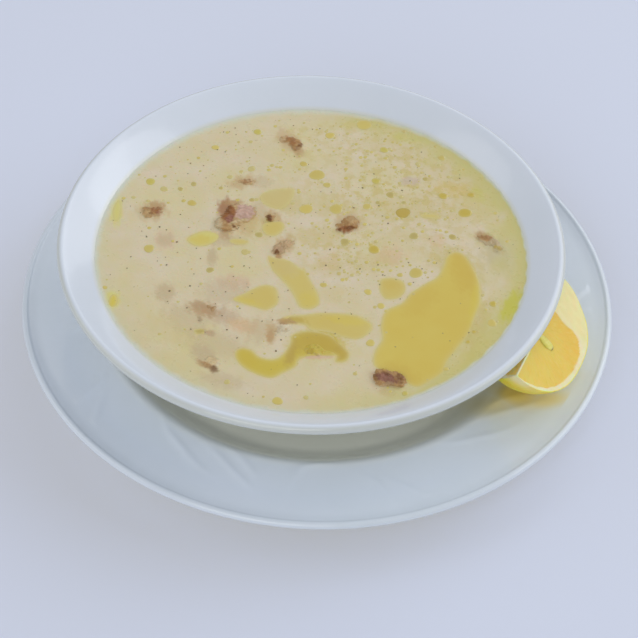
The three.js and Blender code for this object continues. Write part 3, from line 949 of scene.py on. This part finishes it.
# ---- the soup ----
def bells(x, y, spots):
    """The largest of several soft ovals at each point: exp(-(long way squared + short way squared))."""
    total = np.zeros(x.shape)
    for place_x, place_y, long, wide, turn, strength in spots:
        along, across = spun(x - place_x, y - place_y, -math.radians(turn))
        total = np.maximum(total, strength * np.exp(-((along / long) ** 2 + (across / wide) ** 2) ** 1.5))
    return total


def make_soup(finish, outlines):
    """The wall's own curve up to the level, then a level top that climbs a little at the wall and round
    each piece of tripe, and is faintly uneven."""
    wall = bowl_inside(24) - (SOUP_GAP, -SOUP_GAP)
    climb = np.array([(91.3 - SOUP_GAP, 48.3)])
    radii = np.concatenate([np.linspace(91.15, 88, 14), np.linspace(87.5, 1.5, 168)])
    height = SOUP_Z + SOUP_RISE * np.exp(-(91.3 - radii) / 0.9)
    level = np.stack([radii, height], axis=1)
    profile = np.concatenate([line((2, SOUP_BOTTOM), (34, SOUP_BOTTOM), 3), wall, climb, level])
    rings = turned(profile, SOUP_AROUND, BOWL_CENTRE)
    points, faces = skin(rings, (*BOWL_CENTRE, SOUP_BOTTOM), (*BOWL_CENTRE, SOUP_Z))
    x, y, z = points.T
    top = z > SOUP_Z - 0.2
    climbs = [(row[0], row[1], row[2] * 0.56, row[3] * 0.58, row[5], 1.0) for row in TRIPE.values()]
    z = z + top * (0.16 * bells(x, y, climbs) + 0.03 * ripples(x, y, 21, 16))
    reach = np.hypot(x - BOWL_CENTRE[0], y - BOWL_CENTRE[1])
    inward = SOUP_EDGE_RADIUS + 0.4 - reach + 0.3 * ripples(x, y, 22, 12)
    rightward = unit((x - BOWL_CENTRE[0]) / SOUP_EDGE_RADIUS)
    backward = unit((y - BOWL_CENTRE[1]) / SOUP_EDGE_RADIUS)
    film_width = FILM_WIDTH - FILM_NARROWER_RIGHT * rightward + FILM_WIDER_BACK * backward
    film = unit(1 - inward / film_width)
    rim = unit(1 - inward / (RIM_WIDTH + 2 * ripples(x, y, 23, 40)))
    citrus_width = CITRUS_WIDTH + 4 * ripples(x, y, 24, 30)
    citrus = np.clip(1.5 * rightward, 0, 0.8) * unit(1.3 - inward / citrus_width)
    oiled = unit((oiled_depth(points[:, :2], outlines) + 1.3) / 2.2)
    stain, stained = patched(in_photo(points), None, STAINS, STAIN_SOFTNESS, 60)
    stain, stained = laid_over(stain, stained, 0.75 * rim, tinted("rim"))
    stain, stained = laid_over(stain, stained, citrus, tinted("citrus"))
    spots, spotted = patched(in_photo(points), None, RIM_STAINS, STAIN_SOFTNESS, 61)
    stain, stained = laid_over(stain, stained, spotted, spots)
    stain, stained = laid_over(stain, stained, film, tinted("film"))
    return piece(
        "soup_cream",
        np.stack([x, y, z], axis=1),
        faces,
        finish,
        "soup",
        ["soup"],
        oiled=eased(oiled) * 0.9 * top,
        busy=0.75 * bells(*in_photo(points).T, SOUP_BUSY) * top,
        stain=stain,
        stained=stained * top,
    )


# ---- the tripe ----
def make_tripe(name, row, finish):
    """The part's own lump, a rounded box with long waves, made ragged by finer waves: a unit direction
    times (1 + waves), over its super-ellipsoid length, stretched, turned and set at the waterline."""
    x, y, long, wide, deep, turn, proud, seed = row
    grid = (TRIPE_STATIONS, TRIPE_AROUND)
    lift_angle = np.linspace(0, math.pi, TRIPE_STATIONS + 2)[1:-1, None]
    side_angle = np.arange(TRIPE_AROUND) / TRIPE_AROUND * FULL_TURN
    way = np.stack([
        np.broadcast_to(-np.cos(lift_angle), grid),
        np.sin(lift_angle) * np.cos(side_angle),
        np.sin(lift_angle) * np.sin(side_angle),
    ], axis=-1)
    ends = np.array([(-1.0, 0, 0), (1.0, 0, 0)])
    way = np.concatenate([way.reshape(-1, 3), ends])
    length = (np.abs(way) ** TRIPE_SQUARENESS).sum(axis=1) ** (1 / TRIPE_SQUARENESS)
    waves = 0.13 * np.sin(3.1 * way[:, 0] + 1.7 * seed) * np.cos(2.6 * way[:, 1] - seed)
    waves += 0.07 * np.sin(5.2 * way[:, 0] + 4.1 * way[:, 2] + 2.3 * seed)
    ragged = 0.055 * ripples(way[:, 0] * long, way[:, 1] * wide + 3 * way[:, 2], seed + 40, 6.0)
    ragged += 0.012 * ripples(way[:, 0] * long, way[:, 1] * wide + 5 * way[:, 2], seed + 70, 1.8)
    lump = way * ((1 + waves + ragged) / length)[:, None] * (np.array([long, wide, deep]) / 2)
    across, back = spun(lump[:, 0], lump[:, 1], math.radians(turn))
    drop = SOUP_Z + proud - lump[:, 2].max()
    points = np.stack([across + x, back + y, lump[:, 2] + drop], axis=1)
    faces = skin(np.zeros((*grid, 3)), (0, 0, 0), (0, 0, 0))[1]
    pixels = in_photo(points)
    base, patches = TRIPE_PATCHES[name]
    shade = patched(pixels, base, patches, PATCH_SOFTNESS, seed + 20)[0]
    stain = patched(pixels, "milk", STAINS, STAIN_SOFTNESS, 60)[0]
    above = points[:, 2] - SOUP_Z + 0.15 * ripples(points[:, 0], points[:, 1], seed + 90, 4.0)
    wet = (unit(1 - (above - TRIPE_WET_ABOVE) / TRIPE_WET_DEPTH) * TRIPE_WET)[:, None]
    shade = shade * (1 - wet) + stain * wet
    return piece(name + "_browned", points, faces, finish, "tripe", [name], skin=shade)


# ---- the oil ----
def pool_shell(outline):
    """A thin flat pool: its outline filled with a net of points half a step apart, raised by
    thickness x (1 - exp(-depth inside / rise)), over the same net sunk below the surface."""
    low = outline.min(axis=0)
    high = outline.max(axis=0)
    across, deep = np.meshgrid(np.arange(low[0], high[0], POOL_NET), np.arange(low[1], high[1], POOL_NET))
    net = np.stack([across.ravel(), deep.ravel()], axis=1)
    depth = depth_inside(net, outline)
    net = net[depth > POOL_CLEAR * POOL_NET]
    count = len(outline)
    sides = [(index, (index + 1) % count) for index in range(count)]
    places = [Vector(place) for place in np.concatenate([outline, net]).tolist()]
    flat, _, faces, _, _, _ = delaunay_2d_cdt(places, sides, [], 1, 1e-5)
    flat = np.array([tuple(place) for place in flat])
    depth = np.maximum(depth_inside(flat, outline), 0)
    height = SOUP_Z + OIL_LIFT + OIL_THICKNESS * (1 - np.exp(-depth / POOL_RISE))
    top = np.column_stack([flat, height])
    under = np.column_stack([flat, np.full(len(flat), SOUP_Z - OIL_SINK)])
    total = len(flat)
    walls = [[here + total, there + total, there, here] for here, there in sides]
    faces = [list(face) for face in faces]
    faces += [[index + total for index in face[::-1]] for face in faces] + walls
    edge = np.exp(-depth / POOL_FADE)
    return np.concatenate([top, under]), faces, np.concatenate([edge, edge])


def oval(place, half_across, half_deep, around, seed):
    """A round-cornered, slightly uneven oval outline."""
    angle = np.arange(around) / around * FULL_TURN
    uneven = 1 + 0.06 * np.sin(2 * angle + seed) + 0.04 * np.sin(3 * angle + 2.3 * seed)
    ring = np.stack([half_across * np.cos(angle), half_deep * np.sin(angle)], axis=1)
    return place + ring * uneven[:, None]


def pool_outlines(scale):
    """Every pool's outline at the soup's level, the drawn ones first and then the ovals."""
    drawn = [smooth_outline(at_height(corners, SOUP_Z), 6) for corners in OIL_POOLS]
    places = at_height(OIL_OVALS, SOUP_Z)
    ovals = [
        oval(place, row[2] / scale, row[3] / scale / math.sin(lift), 40, number)
        for number, (place, row) in enumerate(zip(places, OIL_OVALS))
    ]
    return drawn + ovals


def make_pools(finish, outlines):
    shells = [pool_shell(outline) for outline in outlines]
    points, faces = joined([shell[:2] for shell in shells])
    tints = POOL_PATCHES + [(tint, []) for tint in OVAL_TINTS]
    shades = [
        patched(in_photo(shell[0]), base, patches, 0.8, number)[0]
        for number, (shell, (base, patches)) in enumerate(zip(shells, tints))
    ]
    edge = np.concatenate([shell[2] for shell in shells])[:, None]
    shade = np.concatenate(shades) * (1 - edge) + tinted("fringe") * edge
    return piece("oil_pools", points, faces, finish, "oil", crisp_above=30, shade=shade * OIL_BRIGHTNESS)


def drop_shell(place, radius, around, seed):
    """One floating drop: a low round cap over a shallow sunk cup. Its edge share falls from one at the
    edge by exp(-distance inwards / fade)."""
    steps = np.array([1.0, 0.86, 0.62, 0.3]) if around > 10 else np.array([1.0, 0.6])
    rise = min(0.16, 0.12 * radius)
    rings = np.empty((len(steps), around, 3))
    for ring, step in zip(rings, steps):
        ring[:, :2] = oval(place, radius * step, radius * step, around, seed)
        ring[:, 2] = SOUP_Z + DROP_LIFT + rise * math.sqrt(1 - step ** 2)
    points, faces = skin(rings, (*place, SOUP_Z - OIL_SINK * radius), (*place, SOUP_Z + DROP_LIFT + rise))
    edge = np.exp(-(1 - np.concatenate([np.repeat(steps, around), [1.0, 0.0]])) * radius / DROP_FADE)
    return points, faces, edge


def inside_bowl(places, margin):
    return np.hypot(*(places - BOWL_CENTRE).T) < SOUP_EDGE_RADIUS - margin


def clear_of_tripe(places):
    """True where a place isn't on a piece of tripe."""
    spots = [(row[0], row[1], row[2] * 0.5, row[3] * 0.5, row[5], 1.0) for row in TRIPE.values()]
    return bells(places[:, 0], places[:, 1], spots) < 0.45


def make_drops(finish, scale):
    """The drops in view by their tints, then crowds of tiny ones. A drop's edge fades to the fringe tint;
    the deep drop's edge is olive instead, painted shade for the dark ring its curved edge shows.
    """
    draw = np.random.default_rng(5)
    shells = []
    tints = []
    for tint, group in OIL_DROPS.items():
        for place, row in zip(at_height(group, SOUP_Z), group):
            shells.append(drop_shell(place, row[2] / scale, 24, len(shells)))
            tints.append(tint)
    for across_pixel, down_pixel, spread_across, spread_down, count in OIL_CROWDS:
        pixels = draw.normal((across_pixel, down_pixel), (spread_across, spread_down), (count, 2))
        tiny = at_height(pixels, SOUP_Z)
        sizes = DROP_SMALLEST + DROP_SPREAD * draw.random(count) ** 3
        kept = inside_bowl(tiny, 2.5) & clear_of_tripe(tiny)
        shells += [drop_shell(place, size, 9, 0) for place, size in zip(tiny[kept], sizes[kept])]
        tints += draw.choice(CROWD_TINTS, kept.sum()).tolist()
    points, faces = joined([shell[:2] for shell in shells])
    shades = []
    for shell, tint in zip(shells, tints):
        # Painted shade: the deep drop's edge is olive, the dark ring its curved edge shows.
        rim = tinted("olive" if tint == "deep" else "fringe")
        shades.append(tinted(tint) * (1 - shell[2][:, None]) + rim * shell[2][:, None])
    shade = np.concatenate(shades) * OIL_BRIGHTNESS
    return piece("oil_drops", points, faces, finish, "oil", crisp_above=30, shade=shade)


# ---- the pepper ----
def flake(place, size, draw):
    """A broken peppercorn's flake: a squashed eight-cornered chip, each corner pushed about."""
    corners = np.array([(i, j, k) for k in (-1, 1) for j in (-1, 1) for i in (-1, 1)], float)
    corners *= draw.uniform(0.55, 1.0, (8, 3)) * size / 2 * np.array([1.0, 0.75, 0.4])
    x, y = spun(corners[:, 0], corners[:, 1], draw.uniform(0, FULL_TURN))
    points = np.stack([x + place[0], y + place[1], corners[:, 2] + SOUP_Z + 0.06 + 0.05 * size], axis=1)
    faces = [[0, 2, 3, 1], [4, 5, 7, 6], [0, 1, 5, 4], [2, 6, 7, 3], [0, 4, 6, 2], [1, 3, 7, 5]]
    return points, faces


def make_pepper(finish):
    draw = np.random.default_rng(11)
    found = at_height(PEPPER_SEEN, SOUP_Z)
    spread = SOUP_EDGE_RADIUS * np.sqrt(draw.random(PEPPER_SCATTERED))
    angle = draw.uniform(0, FULL_TURN, PEPPER_SCATTERED)
    scattered = BOWL_CENTRE + np.stack([spread * np.cos(angle), spread * np.sin(angle)], axis=1)
    scattered = scattered[inside_bowl(scattered, 4)]
    shells = [flake(place, draw.uniform(*PEPPER_LARGE), draw) for place in found]
    shells += [flake(place, PEPPER_SMALLEST + PEPPER_SPREAD * draw.random() ** 2, draw)
               for place in scattered]
    points, faces = joined(shells)
    pale = np.repeat(np.concatenate([draw.random(len(found)) * 0.4, draw.random(len(scattered))]), 8)
    made = piece("pepper_flakes", points, faces, finish, "pepper", pale=pale)
    made.data.shade_flat()
    return made


# ---- the lemon wedge ----
turn = math.radians(LEMON_TURN)
dip = math.radians(LEMON_DIP)
lemon_heading = np.array([math.cos(turn), math.sin(turn), 0.0])
lemon_outward = np.array([math.sin(turn), -math.cos(turn), 0.0])
skyward = np.array([0.0, 0.0, 1.0])


def lemon_direction(angle):
    """Straight out from the core at an angle turned down from level."""
    return lemon_outward * np.cos(angle)[..., None] - skyward * np.sin(angle)[..., None]


def make_lemon(finish):
    """A quarter of a lemon, section by section along its axis: out along one cut face, round the rind
    and back along the other. The rind's radius is radius x sqrt(1 - |along|^fullness)."""
    stations = 190
    face_steps = 44
    arc_steps = 70
    along = -np.cos(np.linspace(0, math.pi, stations + 2)[1:-1])
    radius = LEMON_RADIUS * np.sqrt(1 - np.abs(along) ** LEMON_FULLNESS)
    neck = LEMON_NECK[2] * unit((along - LEMON_NECK[0]) / LEMON_NECK[1])
    belly = LEMON_BELLY[2] * np.exp(-((along - LEMON_BELLY[0]) / LEMON_BELLY[1]) ** 2)
    radius *= 1 - neck + belly
    share = 0.5 - 0.5 * np.cos(np.linspace(0, math.pi, face_steps + 1))
    wedge = math.radians(LEMON_WEDGE)
    arc_angles = dip + wedge * np.linspace(0, 1, arc_steps + 1)[1:-1]
    shares = np.concatenate([share, np.ones(arc_steps - 1), share[::-1][:-1]])
    angles = np.concatenate([np.full(face_steps + 1, dip), arc_angles, np.full(face_steps, dip + wedge)])
    on_face = np.concatenate([np.ones(face_steps + 1), np.zeros(arc_steps - 1), np.ones(face_steps)])
    out = radius[:, None] * shares
    length = along[:, None] * LEMON_LENGTH / 2 + 0 * out
    depth = radius[:, None] - out
    first = np.arange(len(shares)) <= face_steps
    wobble = ripples(length, out, 31, 11)
    pulp_end = LEMON_PULP_END + 1.8 * np.exp(-(out / 3.0) ** 2) - 7 * (np.clip(out - 16, 0, 9) / 6.7) ** 2
    pith_width = np.where(first, LEMON_PITH, LEMON_PITH_BELOW) + 0.15 * wobble
    flesh = unit((depth - pith_width) / 0.35) * unit((out - LEMON_CORE) / LEMON_CORE)
    flesh *= unit((pulp_end + 0.25 * wobble - length) / 0.4)
    pulp = flesh * on_face
    rind = unit((LEMON_ZEST - depth) / 0.5)
    pith = on_face * (1 - rind)
    fan = np.arctan2(length - FIBRE_START[0], out - FIBRE_START[1])
    spread = np.hypot(length - FIBRE_START[0], out - FIBRE_START[1])
    fibre = np.stack([fan * FIBRE_COUNT, spread * 0.35, np.where(first, 0.0, 40.0) + 0 * out], axis=-1)
    swell = pulp * (0.07 * np.sin(fan * 60 + 1.5 * wobble) * unit(out / 6) + 0.12 * wobble - 0.15)
    swell += pith * (1 - pulp) * 0.12 * ripples(length, out, 33, 7)
    normal_angle = np.where(first, dip - math.pi / 2, dip + wedge + math.pi / 2)
    normal = lemon_direction(normal_angle)
    rings = LEMON_MIDDLE + length[..., None] * lemon_heading + out[..., None] * lemon_direction(angles)
    rings = rings + (swell * on_face)[..., None] * normal * unit(out)[..., None]
    half_way = lemon_heading * LEMON_LENGTH / 2
    points, faces = skin(rings, LEMON_MIDDLE - half_way, LEMON_MIDDLE + half_way)
    return piece(
        "lemon_quarter",
        points,
        outward(points, faces),
        finish,
        "lemon",
        ["lemon_wedge"],
        pulp=np.append(pulp, NO_ENDS),
        pith=np.append(pith, NO_ENDS),
        far=np.append(unit((length - LEMON_PULP_END + 2) / 5), NO_ENDS),
        ripe=np.append(unit((length + 24) / 34), NO_ENDS),
        # second marks the shaded second cut face, where lighter pulp is painted.
        second=np.append(on_face * ~first * 0.9 + 0 * out, NO_ENDS),
        # Where the painted highlight pales the rind.
        bare=bells(*in_photo(points).T, LEMON_BARE) * (points @ lemon_outward > 0),
        fibre=np.concatenate([fibre.reshape(-1, 3), np.zeros((2, 3))]),
    )


def outward(points, faces):
    """The faces, turned over if they point inwards: then the volume they enclose counts as negative."""
    quads = np.array([face for face in faces if len(face) == 4])
    threes = np.array([face for face in faces if len(face) == 3])
    corners = np.concatenate([quads[:, :3], quads[:, [0, 2, 3]], threes])
    a, b, c = (points[corners[:, i]] for i in range(3))
    return [face[::-1] for face in faces] if np.sum(a * np.cross(b, c)) < 0 else faces


def make_seed(finish):
    """A long pip, blunt at one end and pointed at the other, half sunk in the outer cut face."""
    stations = 30
    around = 28
    wide, thick, long = LEMON_SEED_SIZE
    along = np.linspace(0, math.pi, stations + 2)[1:-1]
    girth = np.sin(along) ** 0.85 * (1 - 0.22 * np.cos(along))
    angle = np.arange(around) / around * FULL_TURN
    down = lemon_direction(np.array(dip))
    up = lemon_direction(np.array(dip - math.pi / 2))
    place = LEMON_MIDDLE + lemon_heading * LEMON_SEED_ALONG + down * LEMON_SEED_OUT
    rings = place - (np.cos(along) * long / 2)[:, None, None] * down
    rings = rings + (girth[:, None] * np.cos(angle) * wide / 2)[..., None] * lemon_heading
    rings = rings + (girth[:, None] * np.sin(angle) * thick / 2)[..., None] * up
    points, faces = skin(rings, place - down * long / 2, place + down * long / 2)
    reach = (points - place) @ down / (long / 2)
    tip = unit((reach - SEED_TIP_FROM) / 0.15)
    return piece("lemon_seed", points, outward(points, faces), finish, "lemon", tip=tip)


# ---- the whole ----
def make_floor():
    made, tree = finish_named("floor_pale")
    surface(tree, Base_Color=FLOOR_PALE, Roughness=0.6, Emission_Color=FLOOR_GLOW, Emission_Strength=1.0)
    mesh = bpy.data.meshes.new("floor")
    corners = np.array([(-1, -1, 0), (1, -1, 0), (1, 1, 0), (-1, 1, 0)]) * FLOOR_REACH * MM
    mesh.from_pydata(corners.tolist(), [], [[0, 1, 2, 3]])
    mesh.materials.append(made)
    placed("floor", mesh)


def rows(*columns, place=(0, 0, 0)):
    """A placing matrix whose columns are the given directions, with a place in metres."""
    made = Matrix.Identity(4)
    for number, column in enumerate(columns):
        for axis in range(3):
            made[axis][number] = column[axis]
    for axis in range(3):
        made[axis][3] = place[axis]
    return made


def make_camera():
    data = bpy.data.cameras.new("camera")
    data.sensor_width = SENSOR
    data.lens = LENS
    data.clip_start = 0.01
    data.clip_end = 20
    camera = placed("camera", data)
    camera.matrix_world = rows(photo_right, -photo_down, -sight, place=CAMERA_PLACE * MM)
    bpy.context.scene.camera = camera


# Each lamp's place in metres, its width and its power: the strongest from the right.
LAMPS = [
    (np.array([2.3, 0.5, 1.25]), 2.6, 24.6),
    (np.array([-0.6, -2.0, 1.4]), 2.0, 19.1),
    (np.array([1.5, 1.7, 1.6]), 2.2, 12.8),
    (np.array([-2.0, 0.0, 1.4]), 2.0, 8.7),
    (np.array([0.3, 2.0, 1.7]), 2.2, 6.3),
]
LAMP_COLOUR = (0.97, 0.99, 1.03)
SKY_COLOUR = (0.95, 0.985, 1.05, 1)
SKY_STRENGTH = 0.329


def make_light():
    """Large soft lamps turned to the bowl, and an even pale sky."""
    for number, (place, size, power) in enumerate(LAMPS):
        data = bpy.data.lights.new(f"lamp_{number}", "AREA")
        data.shape = "DISK"
        data.size = size
        data.energy = power
        data.color = LAMP_COLOUR
        lamp = placed(f"lamp_{number}", data)
        back = place / np.linalg.norm(place)
        side = np.cross(skyward, back)
        side /= np.linalg.norm(side)
        lamp.matrix_world = rows(side, np.cross(back, side), back, place=place)
    world = bpy.data.worlds.new("sky")
    world.use_nodes = True
    world.node_tree.nodes["Background"].inputs["Color"].default_value = SKY_COLOUR
    world.node_tree.nodes["Background"].inputs["Strength"].default_value = SKY_STRENGTH
    bpy.context.scene.world = world
    bpy.context.scene.view_settings.view_transform = "Standard"


make_floor()
make_camera()
make_light()
# The plate's masks paint light: round the shaded well, and yellow in the lemon's shadow.
make_plate(porcelain("plate_glaze", PLATE_WHITE, PLATE_SHADE, {"well": PLATE_WELL, "glow": PLATE_GLOW}))
# The bowl's lip mask paints shade on the lip's outer side.
make_bowl(porcelain("bowl_glaze", BOWL_WHITE, BOWL_SHADE, {"lip": BOWL_LIP, "film": BOWL_FILM}))
soup_middle = CAMERA_PLACE - np.array([*BOWL_CENTRE, SOUP_Z])
pixels_per_mm = PHOTO_FOCAL / np.linalg.norm(soup_middle)
outlines = pool_outlines(pixels_per_mm)
make_soup(soup_finish(), outlines)
tripe = tripe_finish()
for tripe_name, tripe_row in TRIPE.items():
    make_tripe(tripe_name, tripe_row, tripe)
oil = oil_finish()
make_pools(oil, outlines)
make_drops(oil, pixels_per_mm)
make_pepper(pepper_finish())
make_lemon(lemon_finish())
make_seed(seed_finish())
